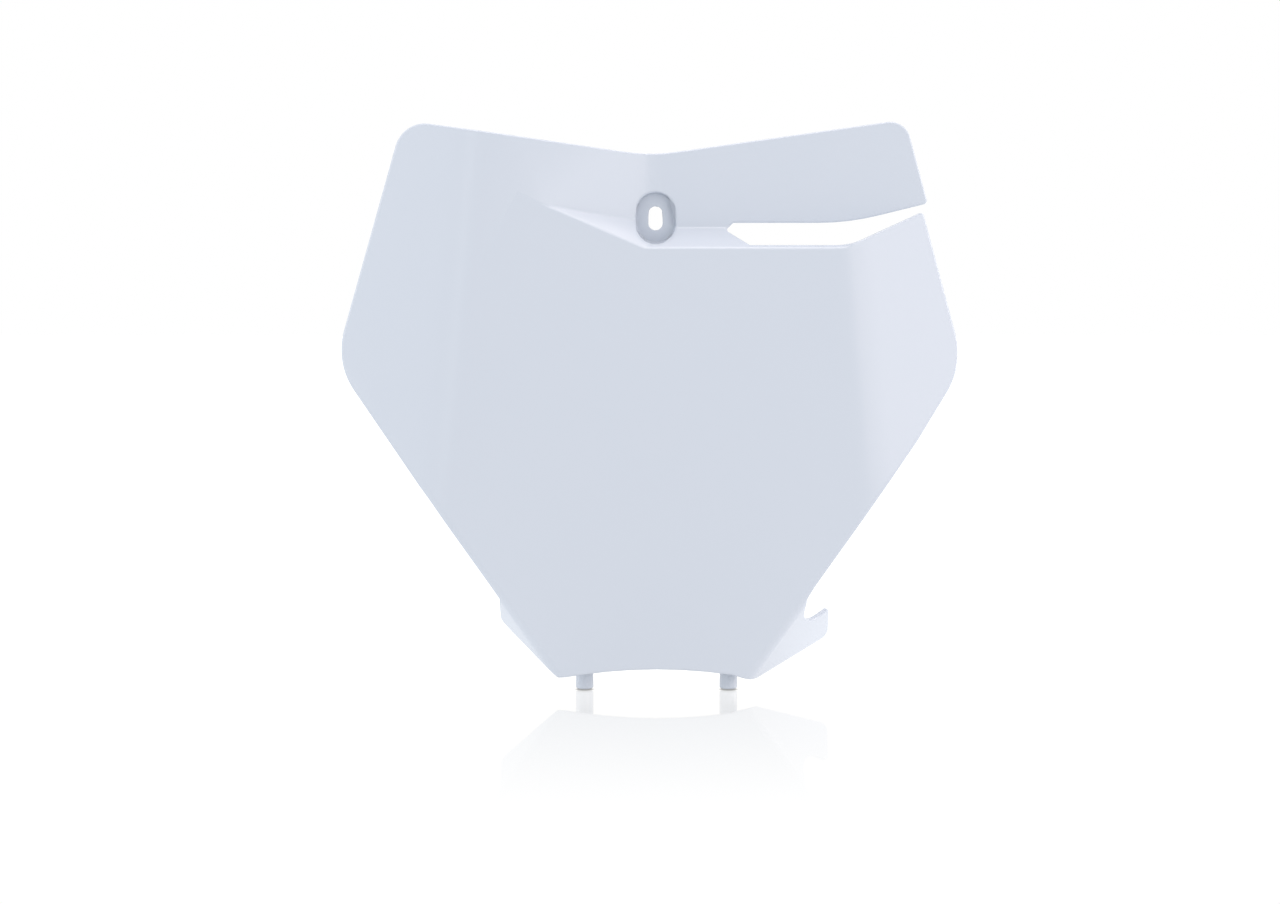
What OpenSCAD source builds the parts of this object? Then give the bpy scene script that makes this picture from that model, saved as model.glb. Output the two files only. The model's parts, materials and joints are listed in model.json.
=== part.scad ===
// Front number board of a racing motorbike, moulded in one piece of gloss plastic.
// +X is to the right as the board is looked at from the front, -Y faces the viewer, +Z is up.
// The origin lies midway between the two locating pegs, at the lower ends of their straight shanks.

/* [Shell] */
// Wall of the moulded sheet
wall = 2.5; // [1.6:0.1:3.2]
// How far the flat front face stands before the pegs
front_reach = 14; // [12:0.5:18]

/* [Outline seen from the front] */
// Height of the screw's middle over the origin
screw_height = 211.9; // [200:0.1:225]
// Height of the shallow V in the top edge over the screw's middle
v_rise = 28.1; // [21:0.1:34]
// Sideways place of the V
v_offset = -3; // [-6:0.5:4]
// Slope of both halves of the top edge
top_slope = 8.05; // [4:0.05:11]
// Radius that blends the V
v_r = 80; // [10:5:100]
// Reach of the top left corner
left_shoulder = 113.6; // [106:0.1:118]
// Reach of the top right corner
right_shoulder = 110.9; // [106:0.1:115]
// Radius of the top left corner
left_shoulder_r = 14; // [4:0.5:18]
// Radius of the top right corner
right_shoulder_r = 9.5; // [4:0.5:14]
// Reach of the tab's lower right corner
tab_end = 121.1; // [118:0.1:125]
// Reach of the right wing's top corner
wing_end = 118.9; // [116:0.1:122]
// Reach of the left wing tip, before its corner is rounded
left_tip = 145.7; // [138:0.5:152]
// Reach of the right wing tip, before its corner is rounded
right_tip = 138.5; // [134:0.5:148]
// Height of the left wing tip
left_tip_height = 146.7; // [138:0.1:158]
// Height of the right wing tip
right_tip_height = 145.9; // [138:0.1:158]
// Radius of the left wing tip
left_tip_r = 30; // [14:1:38]
// Radius of the right wing tip
right_tip_r = 27; // [14:1:30]
// Reach of the slight knee in the right wing's lower edge
knee_reach = 113.0; // [111:0.1:118]
// Height of that knee
knee_height = 107.3; // [104:0.1:112]
// Radius of that knee
knee_r = 250; // [100:10:260]
// Reach of the bottom corners
foot_reach = 44.7; // [42:0.1:47]
// Height of the bottom corners over the origin
foot_height = 5.7; // [4:0.1:8]
// Rise of the arch between the bottom corners
arch_rise = 4; // [1:0.1:6]

/* [Wings] */
// Angle by which each wing turns back
wing_turn = 22; // [14:1:23]
// Half width of the flat front face at the height of the folds' middle
flat_half = 92.8; // [90:0.2:98]
// Height of the folds' middle
wing_fold_height = 145.8; // [130:0.1:160]
// Lean of the wing folds from upright
wing_fold_lean = 5.4; // [4:0.1:8]
// Radius of the wing folds
wing_fold_r = 45; // [20:1:60]

/* [Ears] */
// Angle by which each ear folds back
ear_turn = 63; // [54:1:67]
// Lean of the ear folds from upright
ear_fold_lean = 35.5; // [34:0.1:37]
// Height at which the ear folds are placed
ear_fold_height = 40.3; // [39:0.1:42]
// Reach of the left ear's fold at that height
left_ear_fold = 69.1; // [67.5:0.1:70.5]
// Reach of the right ear's fold at that height
right_ear_fold = 67; // [66:0.1:68.5]
// Radius of the ear folds
ear_fold_r = 5; // [3:0.5:7]
// How far the left hip, where the wing's lower edge ends, stands out from the fold
left_hip_out = 1.4; // [0.4:0.1:3]
// Height of the left hip over the place of the fold
left_hip_rise = 1.6; // [0.4:0.1:4]
// How far the right hip stands out from the fold
right_hip_out = 3; // [1:0.1:4]
// Height of the right hip over the place of the fold
right_hip_rise = 6.2; // [4:0.1:9]
// Length of the left ear from its fold to its back corner
left_ear_length = 15.6; // [10:0.2:22]
// Drop of the left ear's back corner along the fold
left_ear_drop = 7.5; // [5:0.1:12]
// Length of the right ear from its fold to its back corner
right_ear_length = 49.9; // [40:0.5:54]
// Drop of the right ear's back corner along the fold
right_ear_drop = 8.6; // [7:0.1:13]
// Radius of the ears' back corners
ear_corner_r = 5; // [1:0.5:6]
// Rise of the hook's tip along the fold
hook_rise = 1.6; // [0:0.1:3]
// Distance of the hook's tip from the fold
hook_reach = 30; // [27:0.2:33]
// Radius of the hook's tip
hook_tip_r = 2.3; // [0.8:0.1:3]
// Distance of the hook's notch from the fold
hook_notch_reach = 15.3; // [13:0.1:17]
// Depth of the hook's notch under the hook's tip
hook_notch_depth = 15.3; // [13:0.1:17]
// Radius of the hook's notch
hook_notch_r = 14.8; // [6:0.1:15.5]

/* [Set-back at the top] */
// Depth of the flat tab behind the front face
tab_depth = 15; // [15:0.5:18]
// Distance from the pegs' middle to where the slanted facet leaves the front face
facet_start = 49.7; // [44:0.1:56]
// Radius of the soft ridge where the facet leaves the front face
ridge_r = 22; // [8:1:30]
// Radius of the soft fold between facet and tab
facet_fold_r = 40; // [15:1:50]
// Drop of the level ledge's front edge under the screw's middle
ledge_drop = 13.2; // [12.6:0.1:18]
// Lean of the level ledge, up towards the back
ledge_lean = 31; // [26:1:34]
// Sideways place where the ledge starts to fall
ledge_bend = -5.4; // [-9:0.1:-2]
// Slope of the falling ledge's front edge
ledge_fall = 23.3; // [20:0.1:26]
// Lean of the falling ledge, up towards the back
fall_lean = 37; // [32:1:40]
// Lean of the ledge under the slot's mouth, up towards the back
mouth_lean = 8; // [4:1:14]

/* [Hose slot] */
// Drop of the slot's upper edge under the screw's middle
slot_drop = 2.1; // [0.8:0.1:3.3]
// Height of the slot's lower edge over the ledge's front edge
slot_lip = 1.3; // [0.8:0.1:2]
// Distance of the slot's closed end from the pegs' middle
slot_end = 30.9; // [26:0.1:36]
// Length of the slanted stretch at the closed end
slot_end_slant = 10.6; // [8:0.1:14]
// Distance from the pegs' middle to where the slot rises to its mouth
slot_knee = 86.1; // [82:0.1:90]
// Slope of the slot's lower edge on its way to the mouth
mouth_low_slope = 24.4; // [23.5:0.1:25]
// Slope of the slot's upper edge on its way to the mouth
mouth_top_slope = 14; // [13.5:0.1:15.5]
// Radius at which the slot's lower edge turns up to the mouth
mouth_low_r = 31; // [15:1:60]
// Radius at which the slot's upper edge turns up to the mouth
mouth_top_r = 115; // [40:5:160]
// Radius of the corners at the slot's closed end
slot_corner_r = 1.2; // [0.6:0.1:1.8]
// Radius of the two corners at the slot's mouth
mouth_corner_r = 1.8; // [0.6:0.1:2.4]

/* [Screw recess] */
// Sideways place of the screw's middle
screw_offset = -0.5; // [-3:0.1:3]
// Width of the recess in the tab's face
recess_w = 17.6; // [15:0.1:19]
// Height of the recess in the tab's face
recess_h = 23; // [19:0.1:24]
// Depth of the recess floor behind the tab's face
recess_depth = 3.6; // [2:0.1:6]
// Draft of the recess wall
recess_draft = 5; // [3:1:6]
// Width of the screw slot
screw_slot_w = 6.4; // [5.4:0.1:7]
// Height of the screw slot
screw_slot_h = 10.7; // [8:0.1:12]

/* [Locating pegs] */
// Distance between the pegs' axes
peg_spacing = 65.3; // [56:0.1:70]
// Diameter of the pegs
peg_d = 8; // [6:0.1:9]
// Chamfer that leads the pegs in, below their shanks
peg_chamfer = 0.9; // [0.4:0.1:1.2]
// Height of the underside of the shelf that carries the pegs
shelf_height = 15.1; // [14:0.1:18]
// Distance from the pegs' axes to the shelf's back edge
shelf_back = 7; // [6:0.5:9]
// Height of the gussets above the shelf
gusset_height = 22; // [14:1:28]
// Thickness of the gussets
gusset_t = 2; // [1.2:0.1:2.6]

/* [Hidden] */
$fn = 96;
shell_colour = [0.83, 0.86, 0.9];
// Reach of everything that is cut away
far = 400;
// Turn between neighbouring points of an arc
arc_step = 4;
front_y = -front_reach;
tab_y = front_y + tab_depth;
floor_y = tab_y + recess_depth;
facet_lean = atan(tab_depth / (facet_start + v_offset));
v_height = screw_height + v_rise;
ledge_height = screw_height - ledge_drop;
slot_top = screw_height - slot_drop;
slot_low = ledge_height + slot_lip;
mouth_height = slot_top + (tab_end - slot_knee) * tan(mouth_top_slope);
// Height of the corner in the slot's closed end, where its slanted stretch begins
slot_end_height = slot_low + (slot_top - slot_low) * 2 / 3;
left_hip = [left_ear_fold + left_hip_out, ear_fold_height + left_hip_rise];
right_hip = [right_ear_fold + right_hip_out, ear_fold_height + right_hip_rise];
// Most of an edge that a rounded corner takes up
fillet_share = 0.75;
// How far the ears' outlines reach into the panel
ear_inset = 3;
// Where the hook's inner edge runs into the panel, out from the fold and up along it
hook_root = [-0.1, 1];
// How far the shelf reaches past the bottom corners
shelf_margin = 3;
// Land of the shelf behind the gussets
gusset_land = 1;
// Depth of the cuts that go through the wall
cut = 4 * wall;

function towards(a, b) = (b - a) / norm(b - a);
function cross2(a, b) = a[0] * b[1] - a[1] * b[0];

// Points of the arc that rounds corner q between p and s, in the order of travel
function corner_arc(p, q, s, r) =
    let (u = towards(q, p), v = towards(q, s),
         half = acos(max(-1, min(1, u * v))) / 2,
         reach = min(r / tan(half), fillet_share * min(norm(p - q), norm(s - q))),
         centre = q + towards([0, 0], u + v) * reach / cos(half),
         turn = 180 - 2 * half,
         hand = sign(cross2(q - p, s - q)),
         start = q + u * reach - centre,
         steps = max(1, ceil(turn / arc_step)))
    [for (i = [0 : steps])
        let (a = hand * turn * i / steps)
        centre + [start[0] * cos(a) - start[1] * sin(a), start[0] * sin(a) + start[1] * cos(a)]];

// An outline from corners [x, z, radius], rounded where the radius is more than nothing
function rounded(c) =
    let (n = len(c))
    [for (i = [0 : n - 1])
        let (p = c[(i + n - 1) % n], q = c[i], s = c[(i + 1) % n])
        each q[2] > 0 ? corner_arc([p[0], p[1]], [q[0], q[1]], [s[0], s[1]], q[2]) : [[q[0], q[1]]]];

// The arch between the bottom corners, from right to left
function bottom_arch() =
    let (r = (pow(foot_reach, 2) + pow(arch_rise, 2)) / (2 * arch_rise),
         half = asin(foot_reach / r), steps = 8)
    [for (i = [0 : steps])
        let (a = half * (1 - 2 * i / steps))
        [r * sin(a), foot_height + arch_rise - r * (1 - cos(a)), 0]];

// The board's outline from the front, with the hose slot open to the right, without the ears
function board_outline() = rounded(concat(
    [[-left_tip, left_tip_height, left_tip_r],
     [-left_shoulder, v_height + (left_shoulder + v_offset) * tan(top_slope), left_shoulder_r],
     [v_offset, v_height, v_r],
     [right_shoulder, v_height + (right_shoulder - v_offset) * tan(top_slope), right_shoulder_r],
     [tab_end, mouth_height, mouth_corner_r],
     [slot_knee, slot_top, mouth_top_r],
     [slot_end + slot_end_slant / 3, slot_top, slot_corner_r],
     [slot_end, slot_end_height, slot_corner_r],
     [slot_end + slot_end_slant, slot_low, slot_corner_r],
     [slot_knee, slot_low, mouth_low_r],
     [wing_end, slot_low + (wing_end - slot_knee) * tan(mouth_low_slope), mouth_corner_r],
     [right_tip, right_tip_height, right_tip_r],
     [knee_reach, knee_height, knee_r],
     [right_hip[0], right_hip[1], 0],
     [right_ear_fold, ear_fold_height, 0]],
    bottom_arch(),
    [[-left_hip[0], left_hip[1], 0]]));

// Section behind a bend: flat to the left, then turned back by an angle, moved in by a depth
module bend_section(turn, r, inset) {
    start = -r * tan(turn / 2);
    steps = ceil(turn / arc_step);
    arc = [for (i = [0 : steps])
        let (a = turn * i / steps)
        [start + (r - inset) * sin(a), r - (r - inset) * cos(a)]];
    last = arc[steps];
    polygon(concat([[-far, inset]], arc,
        [last + far * [cos(turn), sin(turn)], [-far, far * sin(turn)]]));
}

// Everything behind one bend, whose fold passes through a point of the front face
module behind_bend(reach, height, lean, turn, r, inset) {
    translate([reach, front_y, height]) rotate([0, lean, 0])
        linear_extrude(height = 2 * far, center = true) bend_section(turn, r, inset);
}

// Everything behind the board's front surface before the set-back, moved in by a depth
module behind_face(inset) {
    intersection() {
        behind_bend(flat_half, wing_fold_height, -wing_fold_lean, wing_turn, wing_fold_r, inset);
        mirror([1, 0, 0])
            behind_bend(flat_half, wing_fold_height, -wing_fold_lean, wing_turn, wing_fold_r, inset);
        behind_bend(right_ear_fold, ear_fold_height, ear_fold_lean, ear_turn, ear_fold_r, inset);
        mirror([1, 0, 0])
            behind_bend(left_ear_fold, ear_fold_height, ear_fold_lean, ear_turn, ear_fold_r, inset);
    }
}

// Half space above a ledge that rises towards the back from a front edge
module above_ledge(at, slope, lean, grow) {
    translate([at[0], front_y, at[1]]) rotate([0, -90 - slope, 0])
        linear_extrude(height = 2 * far, center = true)
        polygon([for (v = [-far, far]) [v * tan(lean) - grow / cos(lean), v],
                 [far, far], [far, -far]]);
}

// The space before the facet and the tab, and above the ledges, grown by a depth
module set_back(grow) {
    shift = [-grow * tan(facet_lean / 2), grow];
    ridge = [-facet_start, front_y] + shift;
    fold = [v_offset, tab_y] + shift;
    intersection() {
        linear_extrude(height = far)
            polygon(concat([[-far, -far]],
                           corner_arc([-far, ridge[1]], ridge, fold, ridge_r - grow),
                           corner_arc(ridge, fold, [far, fold[1]], facet_fold_r + grow),
                           [[far, fold[1]], [far, -far]]));
        above_ledge([0, ledge_height], 0, ledge_lean, grow);
        above_ledge([ledge_bend, ledge_height], -ledge_fall, fall_lean, grow);
        above_ledge([slot_knee, slot_low], mouth_low_slope, mouth_lean, grow);
    }
}

// Places its children in the plane of an ear: x out from the fold, z up along it, y through the wall
module in_ear_plane(reach) {
    translate([reach, front_y, ear_fold_height]) rotate([0, ear_fold_lean, 0])
        rotate([0, 0, ear_turn]) children();
}

// A point of the panel [x, z], in the plane of the ear whose fold has this reach
function in_ear(reach, x, z) =
    let (dx = x - reach, dz = z - ear_fold_height)
    [(dx * cos(ear_fold_lean) - dz * sin(ear_fold_lean)) / cos(ear_turn),
     dx * sin(ear_fold_lean) + dz * cos(ear_fold_lean)];

function left_ear_outline() =
    let (foot = in_ear(left_ear_fold, foot_reach, foot_height),
         root = in_ear(left_ear_fold, left_hip[0], left_hip[1]))
    rounded([[-ear_inset, foot[1], 0], [foot[0], foot[1], 0],
             [left_ear_length, -left_ear_drop, ear_corner_r],
             [root[0], root[1], 0], [-ear_inset, root[1], 0]]);

function right_ear_outline() =
    let (foot = in_ear(right_ear_fold, foot_reach, foot_height))
    rounded([[-ear_inset, foot[1], 0], [foot[0], foot[1], 0],
             [right_ear_length, -right_ear_drop, ear_corner_r],
             [hook_reach, hook_rise, hook_tip_r],
             [hook_notch_reach, hook_rise - hook_notch_depth, hook_notch_r],
             [hook_root[0], hook_root[1], 0], [-ear_inset, hook_root[1], 0]]);

// A prism through the board from front to back
module through(outline) {
    rotate([90, 0, 0]) linear_extrude(height = 2 * far, center = true) polygon(outline);
}

// The space that the whole outline takes up, with the ears cut square to their own walls
module trimmed_space() {
    through(board_outline());
    in_ear_plane(right_ear_fold) rotate([90, 0, 0])
        linear_extrude(height = 2 * cut, center = true) polygon(right_ear_outline());
    mirror([1, 0, 0]) in_ear_plane(left_ear_fold) rotate([90, 0, 0])
        linear_extrude(height = 2 * cut, center = true) polygon(left_ear_outline());
}

// The moulded sheet: panel, wings, ears, ledges, facet and tab
module sheet() {
    difference() {
        intersection() {
            behind_face(0);
            trimmed_space();
        }
        set_back(0);
        difference() {
            behind_face(wall);
            set_back(wall);
        }
    }
}

// A drafted oblong between two depths, with a size that holds in the tab's face
module drafted_oblong(w, h, from_y, to_y) {
    straight = h - w;
    from_w = w + 2 * (tab_y - from_y) * tan(recess_draft);
    to_w = w + 2 * (tab_y - to_y) * tan(recess_draft);
    translate([screw_offset, 0, screw_height]) {
        for (side = [-1, 1])
            translate([0, from_y, side * straight / 2]) rotate([-90, 0, 0])
                cylinder(d1 = from_w, d2 = to_w, h = to_y - from_y);
        linear_extrude(height = straight, center = true)
            polygon([[-from_w / 2, from_y], [from_w / 2, from_y], [to_w / 2, to_y], [-to_w / 2, to_y]]);
    }
}

// The cup around the screw, closed by the recess floor
module screw_cup() {
    difference() {
        drafted_oblong(recess_w + 2 * wall, recess_h + 2 * wall, front_y, floor_y + wall);
        set_back(0);
    }
}

// The recess and its slotted hole
module screw_cut() {
    straight = screw_slot_h - screw_slot_w;
    drafted_oblong(recess_w, recess_h, front_y - wall, floor_y);
    translate([screw_offset, floor_y, screw_height]) {
        cube([screw_slot_w, cut, straight], center = true);
        for (side = [-1, 1])
            translate([0, 0, side * straight / 2]) rotate([90, 0, 0])
                cylinder(d = screw_slot_w, h = cut, center = true);
    }
}

// The shelf behind the panel that carries the pegs
module shelf() {
    front_half = foot_reach + shelf_margin;
    back_half = peg_spacing / 2 + shelf_back;
    intersection() {
        behind_face(wall / 2);
        translate([0, 0, shelf_height]) linear_extrude(height = wall)
            polygon([[-front_half, front_y], [front_half, front_y],
                     [back_half, shelf_back], [-back_half, shelf_back]]);
    }
}

// Two gussets between the shelf and the panel, over the pegs
module gussets() {
    intersection() {
        behind_face(wall / 2);
        for (side = [-1, 1])
            translate([side * peg_spacing / 2, 0, shelf_height + wall / 2]) rotate([90, 0, -90])
                linear_extrude(height = gusset_t, center = true)
                polygon([[gusset_land - shelf_back, 0], [front_reach, 0], [front_reach, gusset_height]]);
    }
}

// A locating peg, with its lead-in chamfer below the shank
module peg() {
    r = peg_d / 2;
    rotate_extrude()
        polygon([[0, -peg_chamfer], [r - peg_chamfer, -peg_chamfer], [r, 0],
                 [r, shelf_height + wall / 2], [0, shelf_height + wall / 2]]);
}

module number_board() {
    color(shell_colour) {
        difference() {
            union() {
                sheet();
                screw_cup();
            }
            screw_cut();
        }
        shelf();
        gussets();
        for (side = [-1, 1])
            translate([side * peg_spacing / 2, 0, 0]) peg();
    }
}

number_board();
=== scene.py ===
import json
from math import acos, atan, ceil, copysign, cos, hypot, pi, radians, sin, sqrt, tan

import bmesh
import bpy
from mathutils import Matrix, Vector

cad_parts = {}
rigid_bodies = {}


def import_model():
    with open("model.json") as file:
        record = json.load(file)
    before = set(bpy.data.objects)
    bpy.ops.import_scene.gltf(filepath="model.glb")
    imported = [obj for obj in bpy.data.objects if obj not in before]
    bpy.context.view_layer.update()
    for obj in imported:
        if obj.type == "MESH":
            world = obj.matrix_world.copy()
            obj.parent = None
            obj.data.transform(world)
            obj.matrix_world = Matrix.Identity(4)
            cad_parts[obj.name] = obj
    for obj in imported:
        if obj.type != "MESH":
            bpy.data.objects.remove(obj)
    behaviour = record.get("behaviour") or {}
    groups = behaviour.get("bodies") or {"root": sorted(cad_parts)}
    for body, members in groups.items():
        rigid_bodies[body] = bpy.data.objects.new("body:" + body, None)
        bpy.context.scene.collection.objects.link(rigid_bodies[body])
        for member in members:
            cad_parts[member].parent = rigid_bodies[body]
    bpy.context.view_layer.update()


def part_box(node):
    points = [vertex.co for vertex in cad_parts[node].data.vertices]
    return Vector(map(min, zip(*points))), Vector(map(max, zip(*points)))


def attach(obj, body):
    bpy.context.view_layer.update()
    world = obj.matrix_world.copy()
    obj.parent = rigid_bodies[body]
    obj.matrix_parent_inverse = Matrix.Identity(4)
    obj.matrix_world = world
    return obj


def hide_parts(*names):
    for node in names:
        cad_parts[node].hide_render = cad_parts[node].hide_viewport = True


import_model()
bpy.ops.object.select_all(action="DESELECT")

# Studio
# A pale seamless floor and a soft white tent of light around the board. The camera looks at
# the board's front from a little above its middle, down a long lens.
camera_place = (-0.0075, -1.300, 0.2111)
camera_pitch = radians(4.59)
lens_mm, sensor_mm = 81.25, 36.0

camera_data = bpy.data.cameras.new("camera")
camera_data.lens = lens_mm
camera_data.sensor_width = sensor_mm
camera = bpy.data.objects.new("camera", camera_data)
camera.location = camera_place
camera.rotation_euler = (pi / 2 - camera_pitch, 0, 0)
bpy.context.scene.collection.objects.link(camera)
bpy.context.scene.camera = camera

bpy.context.scene.view_settings.view_transform = "Standard"


class Socket:
    """A shader socket that takes part in plain Python sums."""

    def __init__(self, tree, out):
        self.tree, self.out = tree, out

    def math(self, kind, *values):
        return node(self.tree, "ShaderNodeMath", {"operation": kind}, *values)

    def __add__(self, other):
        return self.math("ADD", self, other)

    def __sub__(self, other):
        return self.math("SUBTRACT", self, other)

    def __rsub__(self, other):
        return self.math("SUBTRACT", other, self)

    def __mul__(self, other):
        return self.math("MULTIPLY", self, other)

    def __pow__(self, other):
        return self.math("POWER", self, other)

    __radd__, __rmul__ = __add__, __mul__


def node(tree, kind, settings, *values, out=0, **named):
    """A node of this type, with its settings set first and then its sockets, as a Socket."""
    made = tree.nodes.new(kind)
    for key, value in settings.items():
        setattr(made, key, value)
    for key, value in list(enumerate(values)) + list(named.items()):
        if value is None:
            continue
        socket = made.inputs[key.replace("_", " ") if isinstance(key, str) else key]
        if isinstance(value, Socket):
            tree.links.new(value.out, socket)
        else:
            socket.default_value = value
    return Socket(tree, made.outputs[out]) if made.outputs else None


# The floor mirrors the foot of the board, less and less away from it. It glows more behind the
# board and in a round patch to either side of it, and has a painted contact shadow, dark where
# each peg touches it.
floor_gap = 0.0005
mirror_share, mirror_squeeze = 0.36, (1.2, 3.0, 0)
glow_front, glow_behind, glow_beside = 1.02, 1.4, 1.5
behind_start, behind_end = -0.01, 0.05
patch_x, patch_core, patch_end, right_patch = 0.13, 0.04, 0.1, 0.6
contact_shadow_x, contact_shadow_core, contact_shadow_end, contact_shadow_share = 0.03265, 0.003, 0.0048, 0.65

board_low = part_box("number_board")[0]
bpy.ops.mesh.primitive_plane_add(size=8, location=(0, 0, board_low.z - floor_gap))
floor = bpy.context.active_object
floor.name = "studio_floor"
floor_paint = bpy.data.materials.new("studio_floor_white")
floor_paint.use_nodes = True
tree = floor_paint.node_tree
tree.nodes.clear()
spot = node(tree, "ShaderNodeTexCoord", {}, out="Object")


def distance(stretch, centre=(0, 0, 0)):
    """How far the floor is from a point, with each axis stretched."""
    apart = node(tree, "ShaderNodeVectorMath", {"operation": "SUBTRACT"}, spot, centre)
    scaled = node(tree, "ShaderNodeVectorMath", {"operation": "MULTIPLY"}, apart, stretch)
    return node(tree, "ShaderNodeVectorMath", {"operation": "LENGTH"}, scaled, out="Value")


def ramp(value, start, end):
    """A smooth step from 0 to 1."""
    return node(tree, "ShaderNodeMapRange", {"interpolation_type": "SMOOTHSTEP"},
                value, start, end, 0.0, 1.0)


def patch(x, core, end):
    """A round patch of the floor, 1 in its core and fading to 0 at its end."""
    return 1 - ramp(distance((1, 1, 0), (x, 0, 0)), core, end)


def glow(strength, shade=1.0):
    """Light that comes evenly from the floor itself."""
    return node(tree, "ShaderNodeEmission", {}, (shade, shade, shade, 1), strength)


def mixed(share, first, second):
    """Two finishes mixed, by the share of the second."""
    return node(tree, "ShaderNodeMixShader", {}, share, first, second)


mirror = mirror_share - mirror_share * ramp(distance(mirror_squeeze), 0.0, 1.0)
behind = ramp(node(tree, "ShaderNodeSeparateXYZ", {}, spot, out="Y"), behind_start, behind_end)
beside = patch(-patch_x, patch_core, patch_end)
beside = beside + right_patch * patch(patch_x, patch_core, patch_end)
# Painted contact shadow: a dark round spot on the floor under each peg
painted_contact_shadow = patch(-contact_shadow_x, contact_shadow_core, contact_shadow_end)
painted_contact_shadow = painted_contact_shadow + patch(contact_shadow_x, contact_shadow_core, contact_shadow_end)
polish = node(tree, "ShaderNodeBsdfGlossy", {}, (1, 0.99, 0.965, 1), 0.04)
surface = mixed(beside, mixed(behind, glow(glow_front), glow(glow_behind)), glow(glow_beside))
surface = mixed(mirror, surface, polish)
# The painted contact shadow turns the floor's glow dark grey under each peg
surface = mixed(contact_shadow_share * painted_contact_shadow, surface, glow(1.0, shade=0.1))
node(tree, "ShaderNodeOutputMaterial", {}, surface)
floor.data.materials.append(floor_paint)

world = bpy.data.worlds.new("studio_tent")
bpy.context.scene.world = world
world.use_nodes = True
world.node_tree.nodes["Background"].inputs["Color"].default_value = (1, 1, 1, 1)
world.node_tree.nodes["Background"].inputs["Strength"].default_value = 1.0

board_middle = Vector((0, 0, 0.13))


def soft_light(name, turn, rise, away, width, height, power, colour=(1, 1, 1)):
    """A softbox aimed at the board, turned to the right of its front and raised, in degrees."""
    box = bpy.data.lights.new(name, "AREA")
    box.shape = "RECTANGLE"
    box.size, box.size_y = width, height
    box.energy = power
    box.color = colour
    lamp = bpy.data.objects.new(name, box)
    turn, rise = radians(turn), radians(rise)
    towards = Vector((sin(turn) * cos(rise), -cos(turn) * cos(rise), sin(rise)))
    lamp.location = board_middle + towards * away
    lamp.rotation_euler = towards.to_track_quat("Z", "Y").to_euler()
    lamp.visible_camera = False
    bpy.context.scene.collection.objects.link(lamp)


warm = (1, 0.88, 0.84)
soft_light("softbox_right", 45, 5, 1.5, 1.21, 1.0, 5.2, warm)
soft_light("softbox_side", 94, 4, 1.5, 0.7, 1.0, 8.3, warm)
soft_light("strip_left", -26, 5, 1.5, 0.25, 0.9, 0.45)
soft_light("softbox_above", 0, 88, 1.2, 1.0, 1.0, 7, warm)
soft_light("softbox_left", -66, 10, 1.5, 0.5, 1.0, 2.0)
soft_light("softbox_left_side", -94, 4, 1.5, 0.7, 1.0, 3.5)

# Moulded sheet
# The board is one injection moulding of gloss white plastic, 2.5 mm thick. Its outline is drawn
# flat, with the ears unfolded, cut into strips along every fold, given its thickness and then
# folded and pressed to shape. Lengths are in millimetres and become metres as they are drawn.
# Points within the near distance of a line count as on it.
MM = 0.001
near = 0.01
wall = 2.5
front_face = -14.0
rim_r = 0.8

# Wings, ears and the set-back tab
wing_turn, wing_r, wing_reach = radians(22), 45.0, 92.8
wing_height, wing_lean, wing_start = 145.8, radians(5.4), 60
ear_turn, ear_r, ear_lean = radians(62), 5.0, radians(35.5)
ear_height = 40.3
ear_reach = {1: 67.0, -1: 69.1}
curl_end, curl_fade = 112.0, 26.0
ear_cuts, curl_cuts = 6, {1: 1, -1: 3}
tab_depth, tab_fold = 15.0, -3.0
ridge_x = -49.7
facet_slope = tab_depth / (tab_fold - ridge_x)
facet_blend, ridge_blend = 1.96, 1.1
ledge_blend, corner_blend, wing_blend = 1.0, 0.8, 0.6
ledge_z = 198.7
ledge_slope = 1 / tan(radians(31))
fall_x, fall_angle, fall_slope = -5.4, radians(23.3), 1 / tan(radians(37))
mouth_x, mouth_z, mouth_angle, mouth_slope = 86.1, 200.0, radians(24.4), 1 / tan(radians(8))

# Screw recess: its rim, its floor and the slotted hole, each an oblong [width, height, middle]
screw_x = -0.5
floor_depth = 18.6
rim_oblong = (17.6, 23.1, 211.85)
floor_oblong = (17.3, 22.3, 212.0)
hole_oblong = (6.4, 10.7, 211.9)
recess_r, recess_fillet, hole_r, cup_r = 0.9, 0.6, 0.25, 0.6

# The flat sheet is cut by regions: the sides above the ears, and the crown with the tab
side_foot, crown_foot, crown_left, crown_right = 46.5, 190.0, -62.0, 70.0

ear_bend = ear_r * ear_turn
ear_tangent = ear_r * tan(ear_turn / 2)


def past_ear_fold(side, x, z):
    """Distance of a point past the line where an ear starts to bend, fading out up the side."""
    fade = max(0, min(1, (curl_end - z) / curl_fade))
    return fade * ((side * x - ear_reach[side]) * cos(ear_lean)
                   - (z - ear_height) * sin(ear_lean) + ear_tangent)


def ear_point(side, out, up, r=0.0):
    """Corner of the unfolded ear, from its distance out from the fold and up along it."""
    out += ear_bend - 2 * ear_tangent
    return (side * (ear_reach[side] + out * cos(ear_lean) + up * sin(ear_lean)),
            ear_height - out * sin(ear_lean) + up * cos(ear_lean), r)


# An arc takes at most this share of the shorter line beside it
arc_step, arc_room = radians(4), 0.75


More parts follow.
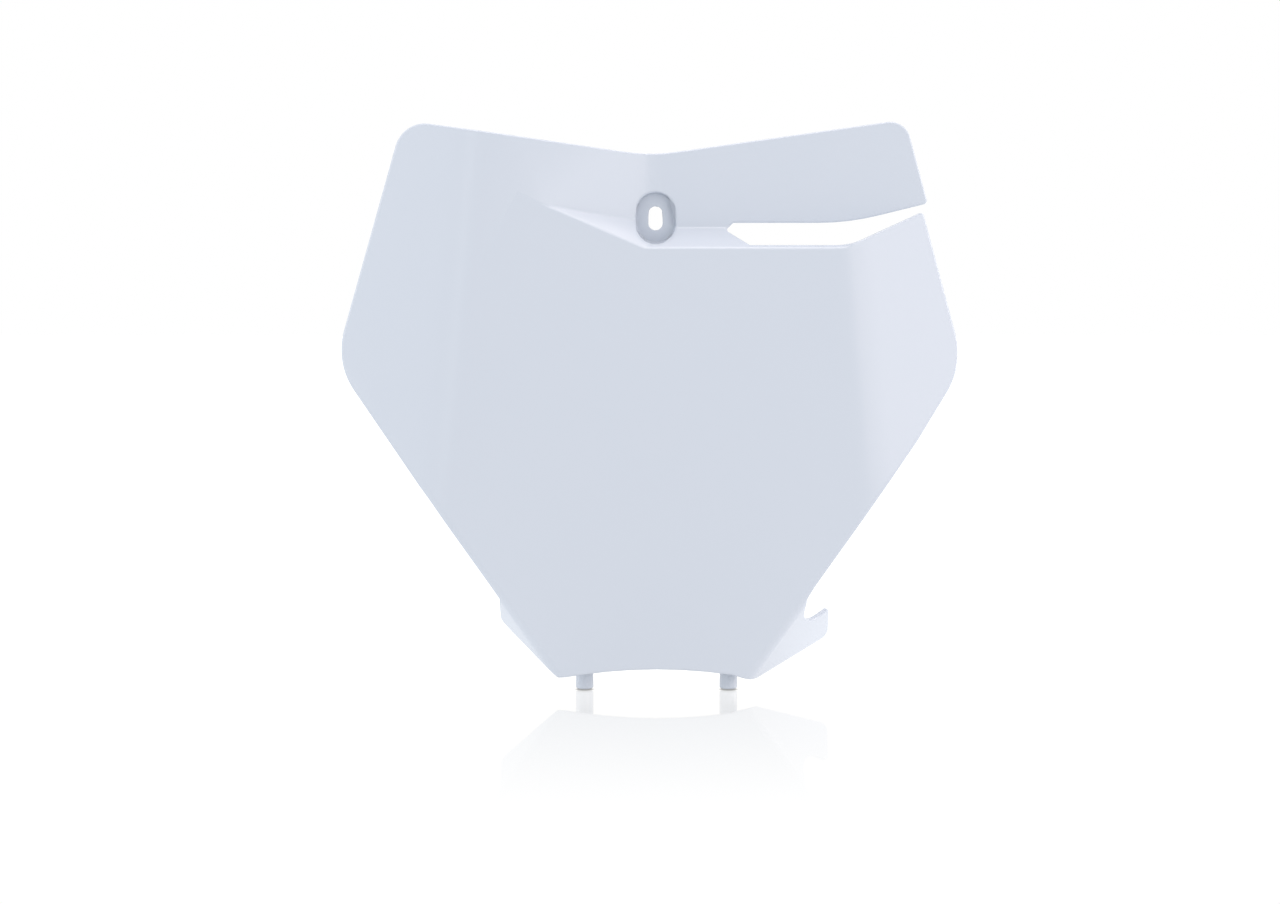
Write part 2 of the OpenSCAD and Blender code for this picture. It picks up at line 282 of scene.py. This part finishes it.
def draw_outline(corners, y=0.0):
    """Draws a closed chain of lines and arcs from corners [x, z, radius], and selects it."""
    first = None
    bpy.ops.mesh.primitive_plane_add(size=MM)
    bpy.ops.mesh.merge(type="CENTER")
    count = len(corners)
    place = Vector((0, 0, 0))
    for i, (x, z, r) in enumerate(corners):
        corner = Vector((x, z))
        to_last = (Vector(corners[i - 1][:2]) - corner)
        to_next = (Vector(corners[(i + 1) % count][:2]) - corner)
        hand = copysign(1, to_last.x * to_next.y - to_last.y * to_next.x)
        room = arc_room * min(to_last.length, to_next.length)
        to_last.normalize()
        to_next.normalize()
        half = acos(max(-1, min(1, to_last.dot(to_next)))) / 2
        reach = min(r / tan(half), room) if r else 0.0
        start = corner + to_last * reach
        target = Vector((start.x, y, start.y)) * MM
        move = target - place
        if first is None:
            first = target
            bpy.ops.transform.translate(value=move)
        else:
            bpy.ops.mesh.extrude_region_move(TRANSFORM_OT_translate={"value": move})
        place = target
        if reach:
            middle = corner + (to_last + to_next).normalized() * (reach / cos(half))
            turn = pi - 2 * half
            bpy.ops.mesh.spin(steps=max(2, ceil(turn / arc_step)), angle=turn,
                              center=Vector((middle.x, y, middle.y)) * MM, axis=(0, -hand, 0))
            end = corner + to_next * reach
            place = Vector((end.x, y, end.y)) * MM
    bpy.ops.mesh.extrude_region_move(TRANSFORM_OT_translate={"value": first - place})
    bpy.ops.mesh.select_linked()
    bpy.ops.mesh.remove_doubles(threshold=1e-6)


# The outline runs clockwise from the left wing's tip: over the top, round the tab and the hose
# slot, down the right wing, round the right ear with its hook, along the arched foot in short
# straight lines, and round the left ear
foot_x, foot_z, arch_rise, arch_steps = 45.4, 5.2, 4.5, 8
arch_r = (foot_x ** 2 + arch_rise ** 2) / (2 * arch_rise)
outline = [
    (-145.7, 146.8, 31), (-113.6, 255.64, 14), (-3, 240, 80), (111.4, 256.08, 9.5),
    (121.7, 218.53, 1.8), (86.1, 209.8, 115), (34.43, 209.8, 1.2), (30.9, 206.53, 1.2),
    (41.5, 200, 1.2), (86.1, 200, 31), (119.4, 214.9, 1.8), (138.9, 145.9, 33),
    (117.4, 112.2, 100), (71.2, side_foot, 0),
    ear_point(1, 1.1, 1.2), ear_point(1, 14.8, -13.7, 14.8), ear_point(1, 29.6, 1.6, 2.3),
    ear_point(1, 48.4, -9.7, 3.4), ear_point(1, 6.2, -41.7)]
outline += [(foot_x * (1 - 2 * i / arch_steps),
             foot_z + arch_rise - foot_x ** 2 * (1 - 2 * i / arch_steps) ** 2 / (2 * arch_r), 0)
            for i in range(1, arch_steps)]
outline += [ear_point(-1, 1.15, -42.34), ear_point(-1, 15.5, -7.05, 4),
            ear_point(-1, 2.0, 2.0), (-75.1, side_foot, 0)]

bpy.ops.mesh.primitive_plane_add(size=MM)
board = bpy.context.active_object
board.name = "number_board_moulding"
bpy.ops.object.mode_set(mode="EDIT")
bpy.ops.mesh.select_all(action="SELECT")
bpy.ops.mesh.delete(type="VERT")
bpy.ops.mesh.select_mode(type="VERT")
draw_outline(outline)
bpy.ops.mesh.edge_face_add()
bpy.ops.mesh.select_mode(type="FACE")

# Three rows of faces along the edge, a twelfth of a turn each once the rim is rounded
for step in (1 - cos(pi / 6), cos(pi / 6) - cos(pi / 3), cos(pi / 3)):
    bpy.ops.mesh.inset(thickness=rim_r * step * MM, use_even_offset=True)


def cut_along(x, z, angle, low=(-200, -50), high=(200, 300)):
    """Bisects the faces whose middle lies in a window, along a line at an angle from +X."""
    faces = bmesh.from_edit_mesh(board.data).faces
    for face in faces:
        mid = face.calc_center_bounds() / MM
        face.select_set(low[0] < mid.x < high[0] and low[1] < mid.z < high[1])
    bpy.ops.mesh.bisect(plane_co=(x * MM, 0, z * MM), plane_no=(-sin(angle), 0, cos(angle)))


def cut_band(x, z, angle, half, steps, low=(-200, -50), high=(200, 300)):
    """Bisects along a band of evenly spaced lines, half its width to either side."""
    for i in range(steps + 1):
        off = half * (2 * i / steps - 1)
        cut_along(x - off * sin(angle), z + off * cos(angle), angle, low, high)


# Lines along the folds. Each ear's first lines run on up the side, where its curl fades out
cut_along(0, side_foot, 0)
cut_along(0, crown_foot, 0)
cut_along(crown_left, 0, pi / 2, low=(-200, crown_foot))
cut_along(crown_right, 0, pi / 2, low=(crown_left, crown_foot))
for side in (1, -1):
    cut_band(side * wing_reach, wing_height, pi / 2 + side * wing_lean,
             wing_r * tan(wing_turn / 2), 8, low=(-200, side_foot))
    for i in range(ear_cuts + 1):
        back = ear_tangent - ear_bend * i / ear_cuts
        top = crown_foot if i <= curl_cuts[side] else side_foot
        cut_along(side * (ear_reach[side] - back * cos(ear_lean)),
                  ear_height + back * sin(ear_lean), pi / 2 - side * ear_lean, high=(200, top))

# Bands across the facet's two bends, and along every edge of the ledges, on the front and on
# the back. Each window ends about where its edge does.
cut_band(ridge_x, 0, pi / 2, ridge_blend / facet_slope, 6,
         low=(crown_left, crown_foot), high=(-40, 300))
cut_band(tab_fold, 0, pi / 2, facet_blend / facet_slope, 6,
         low=(-40, crown_foot), high=(30, 300))
level_left, valley_half, corner_half = -9.1, 0.8, 1.16
rise = fall_slope * cos(fall_angle)
tilt = atan((facet_slope - fall_slope * sin(fall_angle)) / rise)
for depth in (0, wall):
    level_shift = depth * (1 - sqrt(1 + ledge_slope ** 2)) / ledge_slope
    fall_shift = depth * (1 - sqrt(1 + fall_slope ** 2)) / fall_slope
    facet_shift = depth * (sqrt(1 + fall_slope ** 2) - sqrt(1 + facet_slope ** 2))
    cut_band(0, ledge_z + level_shift, 0, ledge_blend / ledge_slope, 4,
             low=(level_left, crown_foot), high=(92, 300))
    cut_band(0, ledge_z + level_shift + tab_depth / ledge_slope, 0, ledge_blend / ledge_slope, 4,
             low=(level_left, 201), high=(crown_right, 300))
    cut_band(fall_x + fall_shift * sin(fall_angle), ledge_z + fall_shift * cos(fall_angle),
             -fall_angle, ledge_blend / fall_slope, 4, low=(crown_left, crown_foot),
             high=(12, 300))
    cut_band(ridge_x, ledge_z + (fall_x - ridge_x) * tan(fall_angle) - facet_shift / rise, tilt,
             valley_half, 4, low=(crown_left, crown_foot), high=(3, 300))
cut_band(fall_x, ledge_z, atan(fall_slope * sin(fall_angle) / (ledge_slope - rise)),
         corner_half, 4, low=(level_left, 196), high=(12, 210))


def draw_oblong(width, height, middle, grow=0.0):
    """Draws an oblong tube through the sheet, to cut its loop into the faces."""
    half_w, half_h = width / 2 + grow, height / 2 + grow
    left, right = screw_x - half_w, screw_x + half_w
    draw_outline([(left, middle - half_h, half_w), (left, middle + half_h, half_w),
                  (right, middle + half_h, half_w), (right, middle - half_h, half_w)], y=-1)
    bpy.ops.mesh.extrude_region_move(TRANSFORM_OT_translate={"value": (0, 2 * MM, 0)})
    bpy.ops.mesh.select_linked()


# Loops of the recess's rim, floor and hole, and of the cup's rim and floor on the back, with
# the rows that their rounded edges take
arc = [1 - cos(pi / 6), 1 - cos(pi / 3), 1]
cup_ease = 0.1
loops = [(rim_oblong, grow * recess_r) for grow in [0] + arc]
loops += [(floor_oblong, -grow * recess_fillet) for grow in [0] + arc]
loops += [(hole_oblong, grow * hole_r) for grow in [0, 0.5, 1]]
loops += [(rim_oblong, wall + cup_ease)]
loops += [(floor_oblong, wall - cup_r * grow) for grow in [0] + arc]


def by_place(points):
    """A number for a group of points that no other group has, from the middle of the group."""
    return sum(point.co.x + 0.618 * point.co.z for point in points) / len(points)


# The cut leaves points and edges in no fixed order, so they are sorted by place each time
bpy.ops.mesh.select_mode(type="VERT")
for oblong, grow in loops:
    bpy.ops.mesh.select_all(action="DESELECT")
    draw_oblong(*oblong, grow)
    bpy.ops.mesh.intersect(mode="SELECT_UNSELECT", separate_mode="CUT", solver="EXACT")
    flat = bmesh.from_edit_mesh(board.data)
    for face in flat.faces:
        face.select_set(abs(face.normal.y) < 0.5)
    bpy.ops.mesh.select_mode(type="FACE")
    bpy.ops.mesh.delete(type="FACE")
    bpy.ops.mesh.select_mode(type="VERT")
    flat = bmesh.from_edit_mesh(board.data)
    flat.verts.sort(key=lambda vert: by_place([vert]))
    flat.edges.sort(key=lambda edge: by_place(edge.verts))
    flat.faces.sort(key=lambda face: by_place(face.verts))
bpy.ops.mesh.select_all(action="SELECT")
bpy.ops.mesh.remove_doubles(threshold=0.02 * MM)


def past_oblong(oblong, x, z):
    """Distance of a point outside an oblong, less than nothing inside it."""
    width, height, middle = oblong
    return hypot(x - screw_x, max(0, abs(z - middle) - (height - width) / 2)) - width / 2


def rounding(past, r):
    """How far an edge of this radius falls away, at a distance in from its side."""
    return r - sqrt(r * r - (r - past) ** 2) if past < r else 0.0


# Each point's distance from the outline, for the rounded rims. An edge with both ends far off
# to the side is passed over.
far_side = 12
flat = bmesh.from_edit_mesh(board.data)
rim_layer = flat.verts.layers.float.new("rim")
rims = [(e.verts[0].co.xz / MM, e.verts[1].co.xz / MM) for e in flat.edges if e.is_boundary]
for vert in flat.verts:
    point = vert.co.xz / MM
    gap = 2 * rim_r
    for start, end in rims:
        if abs(start.x - point.x) > far_side and abs(end.x - point.x) > far_side:
            continue
        run = end - start
        share = max(0, min(1, (point - start).dot(run) / run.length_squared))
        gap = min(gap, (point - start - run * share).length)
    vert[rim_layer] = gap

for face in flat.faces:
    face.select_set(all(past_oblong(hole_oblong, v.co.x / MM, v.co.z / MM) < near
                        for v in face.verts))
bpy.ops.mesh.select_mode(type="FACE")
bpy.ops.mesh.delete(type="FACE")
bpy.ops.object.mode_set(mode="OBJECT")

thicken = board.modifiers.new("wall", "SOLIDIFY")
thicken.thickness = wall * MM
thicken.offset = 0
bpy.ops.object.modifier_apply(modifier="wall")

# The recess's wall on the front and the cup's wall on the back bridge their loops
bpy.ops.object.mode_set(mode="EDIT")
for front, outer_grow, inner_grow in ((True, 0, 0), (False, wall + cup_ease, wall)):
    bpy.ops.mesh.select_mode(type="FACE")
    for face in bmesh.from_edit_mesh(board.data).faces:
        face.select_set(all(
            (v.co.y < 0) == front
            and past_oblong(rim_oblong, v.co.x / MM, v.co.z / MM) < outer_grow + near
            and past_oblong(floor_oblong, v.co.x / MM, v.co.z / MM) > inner_grow - near
            for v in face.verts))
    bpy.ops.mesh.delete(type="FACE")
    bpy.ops.mesh.select_mode(type="EDGE")
    for edge in bmesh.from_edit_mesh(board.data).edges:
        edge.select_set(edge.is_boundary)
    bpy.ops.mesh.bridge_edge_loops()


def soft_max(a, b, blend):
    """The larger of two depths, rounded where they are within the blend of each other."""
    over = blend - abs(a - b)
    return max(a, b) + (over * over / (4 * blend) if over > 0 and blend > 0 else 0)


def soft_min(a, b, blend):
    """The smaller of two depths, rounded in the same way."""
    return -soft_max(-a, -b, blend)


def wing_depth(x, z, inset):
    """Depth of the panel and the wings, on the front or moved in by the wall. The wings start
    above the ears."""
    past = ((abs(x) - wing_reach) * cos(wing_lean) + (z - wing_height) * sin(wing_lean)
            + wing_r * tan(wing_turn / 2))
    r = wing_r - inset
    if past <= 0 or z < wing_start:
        return inset
    if past < r * sin(wing_turn):
        return wing_r - sqrt(r * r - past * past)
    return tan(wing_turn) * (past - wing_r * tan(wing_turn / 2)) + inset / cos(wing_turn)


def sheet_depth(x, z, inset):
    """Depth of the sheet behind the panel's front face, with the tab, its facet and its ledges."""
    def plane(slope, run):
        return slope * run + inset * sqrt(1 + slope * slope)
    facet = soft_max(soft_min(plane(facet_slope, x - ridge_x), tab_depth + inset, facet_blend),
                     inset, ridge_blend)
    level = plane(ledge_slope, z - ledge_z)
    fall = plane(fall_slope, (x - fall_x) * sin(fall_angle) + (z - ledge_z) * cos(fall_angle))
    mouth = plane(mouth_slope, (mouth_x - x) * sin(mouth_angle) + (z - mouth_z) * cos(mouth_angle))
    ledges = soft_min(soft_min(level, fall, corner_blend), mouth, corner_blend)
    ledges = soft_max(ledges, inset, ledge_blend)
    set_back = soft_min(facet, ledges, min(ledge_blend, (facet + ledges) / 2 - inset))
    wing = wing_depth(x, z, inset)
    return soft_max(wing, set_back, min(wing_blend, (wing + set_back) / 2 - inset))


def press(x, z, front, gap):
    """Depth of a point of the front or back, in the shape that the mould gives it."""
    to_floor, to_rim = past_oblong(floor_oblong, x, z), past_oblong(rim_oblong, x, z)
    to_hole = rounding(max(0, past_oblong(hole_oblong, x, z)), hole_r)
    if front:
        if to_floor < near:
            return floor_depth - rounding(max(0, -to_floor), recess_fillet) + to_hole
        return sheet_depth(x, z, 0) + rounding(max(0, to_rim), recess_r) + rounding(gap, rim_r)
    if to_floor < wall + near:
        return floor_depth + wall - rounding(max(0, wall - to_floor), cup_r) - to_hole
    return sheet_depth(x, z, wall) - rounding(gap, rim_r)


bpy.ops.mesh.select_all(action="SELECT")
bpy.ops.mesh.normals_make_consistent(inside=False)
shape = bmesh.from_edit_mesh(board.data)
rim_layer = shape.verts.layers.float["rim"]
for vert in shape.verts:
    x, z = vert.co.x / MM, vert.co.z / MM
    deep = press(x, z, vert.co.y < 0, vert[rim_layer])
    side = 1 if x > 0 else -1
    past = past_ear_fold(side, x, z)
    wing = wing_depth(x, z, 0)
    deep -= wing
    angle = max(0.0, min(past / ear_r, ear_turn))
    rest = max(0.0, past - ear_bend)
    shift = ear_r * sin(angle) + rest * cos(ear_turn) - max(0.0, past) - deep * sin(angle)
    folded = ear_r * (1 - cos(angle)) + rest * sin(ear_turn)
    vert.co = Vector((x + side * shift * cos(ear_lean),
                      front_face + wing + folded + deep * cos(angle),
                      z - shift * sin(ear_lean))) * MM
bmesh.update_edit_mesh(board.data)
bpy.ops.object.mode_set(mode="OBJECT")

# Shelf, gussets and pegs
# The two locating pegs stand under a shelf behind the panel, which two gussets tie to it. They
# are part of the same moulding, joined to the sheet here. Each starts inside what carries it.
in_wall, sunk = -12.4, 0.6
shelf_z, shelf_back, shelf_half, shelf_back_half = 15.1, 7.0, 47.7, 39.65
shelf_corner, shelf_rim = 3, 0.5
gusset_rise, gusset_toe, gusset_back, gusset_half, gusset_rim = 22.0, 0.6, 6, 1.0, 0.4
peg_half, peg_r, peg_chamfer, peg_sunk = 32.65, 4.0, 0.9, 1.0


def join_on(piece):
    """Fuses a closed piece with the board and removes it."""
    fuse = board.modifiers.new("fuse", "BOOLEAN")
    fuse.operation = "UNION"
    fuse.solver = "MANIFOLD"
    fuse.object = piece
    bpy.ops.object.select_all(action="DESELECT")
    bpy.context.view_layer.objects.active = board
    bpy.ops.object.modifier_apply(modifier="fuse")
    bpy.data.objects.remove(piece, do_unlink=True)


def block(low, high):
    """A box between two corners, upright in the board's frame."""
    middle = [(a + b) / 2 * MM for a, b in zip(low, high)]
    bpy.ops.mesh.primitive_cube_add(size=1, location=middle,
                                    scale=[(b - a) * MM for a, b in zip(low, high)])
    bpy.ops.object.transform_apply(location=True, rotation=True, scale=True)
    return bpy.context.active_object


shelf = block((-shelf_half, in_wall, shelf_z), (shelf_half, shelf_back, shelf_z + wall))
for vert in shelf.data.vertices:
    if vert.co.y > 0:
        vert.co.x = copysign(shelf_back_half * MM, vert.co.x)
bpy.ops.object.mode_set(mode="EDIT")
bpy.ops.mesh.select_mode(type="EDGE")
for edge in bmesh.from_edit_mesh(shelf.data).edges:
    edge.select_set(all(v.co.y > 0 for v in edge.verts)
                    and edge.verts[0].co.x * edge.verts[1].co.x > 0)
bpy.ops.mesh.bevel(offset=shelf_corner * MM, segments=5)
for edge in bmesh.from_edit_mesh(shelf.data).edges:
    edge.select_set(abs(edge.verts[0].co.z - edge.verts[1].co.z) < 1e-6
                    and max(v.co.y for v in edge.verts) > in_wall * MM + 1e-4)
bpy.ops.mesh.bevel(offset=shelf_rim * MM, segments=2)
bpy.ops.object.mode_set(mode="OBJECT")
join_on(shelf)

for side in (-1, 1):
    gusset = block((side * peg_half - gusset_half, in_wall, shelf_z + sunk),
                   (side * peg_half + gusset_half, gusset_back, shelf_z + wall + gusset_rise))
    for vert in gusset.data.vertices:
        if vert.co.y > 0 and vert.co.z > (shelf_z + wall) * MM:
            vert.co.z = (shelf_z + wall + gusset_toe) * MM
    bpy.ops.object.mode_set(mode="EDIT")
    bpy.ops.mesh.select_mode(type="EDGE")
    for edge in bmesh.from_edit_mesh(gusset.data).edges:
        edge.select_set(abs(edge.verts[0].co.x - edge.verts[1].co.x) < 1e-6
                        and abs(edge.verts[0].co.z - edge.verts[1].co.z) > 15 * MM
                        and abs(edge.verts[0].co.y - edge.verts[1].co.y) > 5 * MM)
    bpy.ops.mesh.bevel(offset=gusset_rim * MM, segments=2)
    bpy.ops.object.mode_set(mode="OBJECT")
    join_on(gusset)

    peg_top = shelf_z + peg_sunk
    bpy.ops.mesh.primitive_cylinder_add(
        vertices=48, radius=peg_r * MM, depth=(peg_top + peg_chamfer) * MM,
        location=(side * peg_half * MM, 0, (peg_top - peg_chamfer) / 2 * MM))
    bpy.ops.object.transform_apply(location=True, rotation=True, scale=True)
    peg = bpy.context.active_object
    bpy.ops.object.mode_set(mode="EDIT")
    bpy.ops.mesh.select_mode(type="EDGE")
    for edge in bmesh.from_edit_mesh(peg.data).edges:
        edge.select_set(all(v.co.z < 0 for v in edge.verts))
    bpy.ops.mesh.bevel(offset=peg_chamfer * MM, segments=3)
    bpy.ops.object.mode_set(mode="OBJECT")
    join_on(peg)

# Gloss white plastic
# The mould is polished at the front and spark-finished at the back, where its ejector pins
# leave faint rings. The gloss has a slight orange peel, slow waves and hairlines from handling.
# Lengths are in metres from here on, as the shader reads them.
edge_angle = radians(40)
gloss_front, gloss_uneven, gloss_hairline, gloss_back = 0.185, 0.03, 0.04, 0.2
peel_height, wave_height, spark_height, ring_height = 2e-6, 6e-5, 1.2e-5, 4e-5
peel_count, wave_count, spark_count, uneven_count, tone_count = 700, 32, 2600, 60, 30
hairline_stretch, hairline_power = (2200, 2200, 40), 6
white_cool, white_warm = (0.523, 0.572, 0.650, 1), (0.531, 0.577, 0.653, 1)
back_start, back_end = 0.15, 0.4
pin_r, ring_core, ring_end = 0.003, 0.0001, 0.0004
pin_places = [(-0.078, 0, 0.2), (0.078, 0, 0.175), (-0.055, 0, 0.12), (0.055, 0, 0.12),
              (-0.036, 0, 0.065), (0.036, 0, 0.065)]

bpy.ops.object.select_all(action="DESELECT")
board.select_set(True)
bpy.context.view_layer.objects.active = board
bpy.ops.object.shade_smooth_by_angle(angle=edge_angle)
weights = board.modifiers.new("even_gloss", "WEIGHTED_NORMAL")
weights.keep_sharp = True
bpy.ops.object.modifier_apply(modifier="even_gloss")

plastic = bpy.data.materials.new("gloss_white_plastic")
plastic.use_nodes = True
tree = plastic.node_tree
tree.nodes.clear()
place = node(tree, "ShaderNodeTexCoord", {}, out="Object")
facing = node(tree, "ShaderNodeTexCoord", {}, out="Normal")


def noise(scale, detail=1.0, stretch=(1, 1, 1)):
    """Soft lumps from 0 to 1 in the plastic, about this many to the metre."""
    return node(tree, "ShaderNodeTexNoise", {},
                node(tree, "ShaderNodeVectorMath", {"operation": "MULTIPLY"}, place, stretch),
                Scale=scale, Detail=detail)


back = ramp(node(tree, "ShaderNodeSeparateXYZ", {}, facing, out="Y"), back_start, back_end)
to_pin = 1.0
for pin in pin_places:
    apart = node(tree, "ShaderNodeVectorMath", {"operation": "SUBTRACT"}, place, pin)
    flat_apart = node(tree, "ShaderNodeVectorMath", {"operation": "MULTIPLY"}, apart, (1, 0, 1))
    length = node(tree, "ShaderNodeVectorMath", {"operation": "LENGTH"}, flat_apart, out="Value")
    to_pin = length.math("MINIMUM", length, to_pin)
off_ring = to_pin - pin_r
ring = 1 - ramp(off_ring.math("ABSOLUTE", off_ring), ring_core, ring_end)
hairline = noise(1.0, 0.0, hairline_stretch) ** hairline_power
orange_peel, slow_wave, spark_grain = noise(peel_count), noise(wave_count), noise(spark_count, 2.0)
height = (orange_peel * peel_height + slow_wave * wave_height
          + back * (spark_grain * spark_height + ring * ring_height))
skin = node(tree, "ShaderNodeBump", {}, Strength=1.0, Distance=1.0, Height=height)
tone = node(tree, "ShaderNodeMix", {"data_type": "RGBA"}, noise(tone_count, 2.0), *[None] * 5,
            white_cool, white_warm, out=2)
gloss = (gloss_front + noise(uneven_count) * gloss_uneven + hairline * gloss_hairline
         + back * gloss_back)
shader = node(tree, "ShaderNodeBsdfPrincipled", {}, Base_Color=tone, Roughness=gloss,
              IOR=1.49, Normal=skin)
node(tree, "ShaderNodeOutputMaterial", {}, shader)

# Fusing the pegs leaves empty material slots, so the plastic is made the only one
board.data.materials.clear()
board.data.materials.append(plastic)
for face in board.data.polygons:
    face.material_index = 0

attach(board, "root")
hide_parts("number_board")
